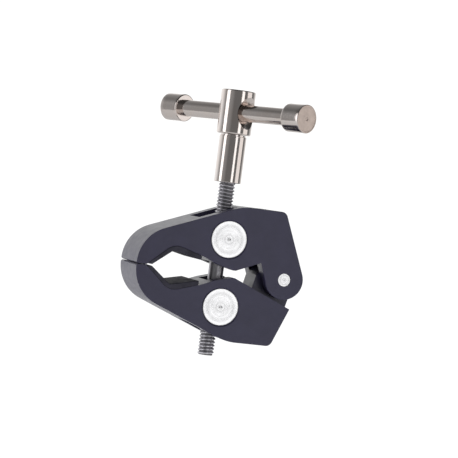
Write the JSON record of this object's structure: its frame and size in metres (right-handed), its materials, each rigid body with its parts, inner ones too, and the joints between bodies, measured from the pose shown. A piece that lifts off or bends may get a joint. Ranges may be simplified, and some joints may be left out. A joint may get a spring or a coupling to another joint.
{
  "type": "super clamp",
  "caption": "Two-jaw clamp with padded V mouth, hinge pin, double-threaded screw and sliding cross-bar handle.",
  "frame": {"origin": "middle of the mouth, on the axis of a gripped pipe, on the closing plane and at mid width", "axes": "+X from the mouth towards the hinge pin, +Y along the gripped pipe, +Z along the screw towards the handle"},
  "size_m": [0.0647, 0.0668, 0.0998],
  "materials": {
    "casting": "satin",
    "pad_rubber": "matte",
    "turned_steel": "satin",
    "screw_steel": "satin",
    "nickel_plate": "gloss"
  },
  "bodies": {
    "upper_jaw": {"upper_jaw": "casting", "upper_jaw_pad": "pad_rubber", "hinge_pin": "turned_steel"},
    "lower_jaw": {"lower_jaw": "casting", "lower_jaw_pad": "pad_rubber"},
    "upper_nut": {"upper_barrel_nut": "turned_steel"},
    "lower_nut": {"lower_barrel_nut": "turned_steel"},
    "sleeve": {"handle_sleeve": "nickel_plate"},
    "screw": {"clamp_screw": "screw_steel", "handle_head": "nickel_plate"},
    "cross_bar": {"tommy_bar": "nickel_plate", "bar_cap_left": "nickel_plate", "bar_cap_right": "nickel_plate"}
  },
  "joints": [
    {"name": "jaw_open", "type": "hinge", "parent": "upper_jaw", "child": "lower_jaw", "pos_m": [0.0423, 0, 0], "axis": [0, -1, 0], "range_deg": [0, 42.7]},
    {"name": "upper_nut_tilt", "type": "hinge", "parent": "upper_jaw", "child": "upper_nut", "pos_m": [0.019, 0, 0.0126], "axis": [0, -1, 0], "range_deg": [0, 21.35]},
    {"name": "lower_nut_tilt", "type": "hinge", "parent": "lower_jaw", "child": "lower_nut", "pos_m": [0.019, 0, -0.0126], "axis": [0, 1, 0], "range_deg": [0, 21.35]},
    {"name": "screw_feed", "type": "slide", "parent": "upper_nut", "child": "sleeve", "axis": [0, 0, -1], "range_m": [0, 0.00762]},
    {"name": "screw_spin", "type": "hinge", "parent": "sleeve", "child": "screw", "pos_m": [0.019, 0, 0], "axis": [0, 0, 1], "range_deg": [0, 2160]},
    {"name": "bar_slide", "type": "slide", "parent": "screw", "child": "cross_bar", "axis": [0.4924, -0.8704, 0], "range_m": [-0.0201, 0.0201]}
  ],
  "couplings": [
    {"joint": "jaw_open", "follows": "screw_spin", "ratio": 0.019769},
    {"joint": "upper_nut_tilt", "follows": "screw_spin", "ratio": 0.0098843},
    {"joint": "lower_nut_tilt", "follows": "screw_spin", "ratio": 0.0098843},
    {"joint": "screw_feed", "follows": "screw_spin", "m_per_rad": 0.00020213}
  ]
}
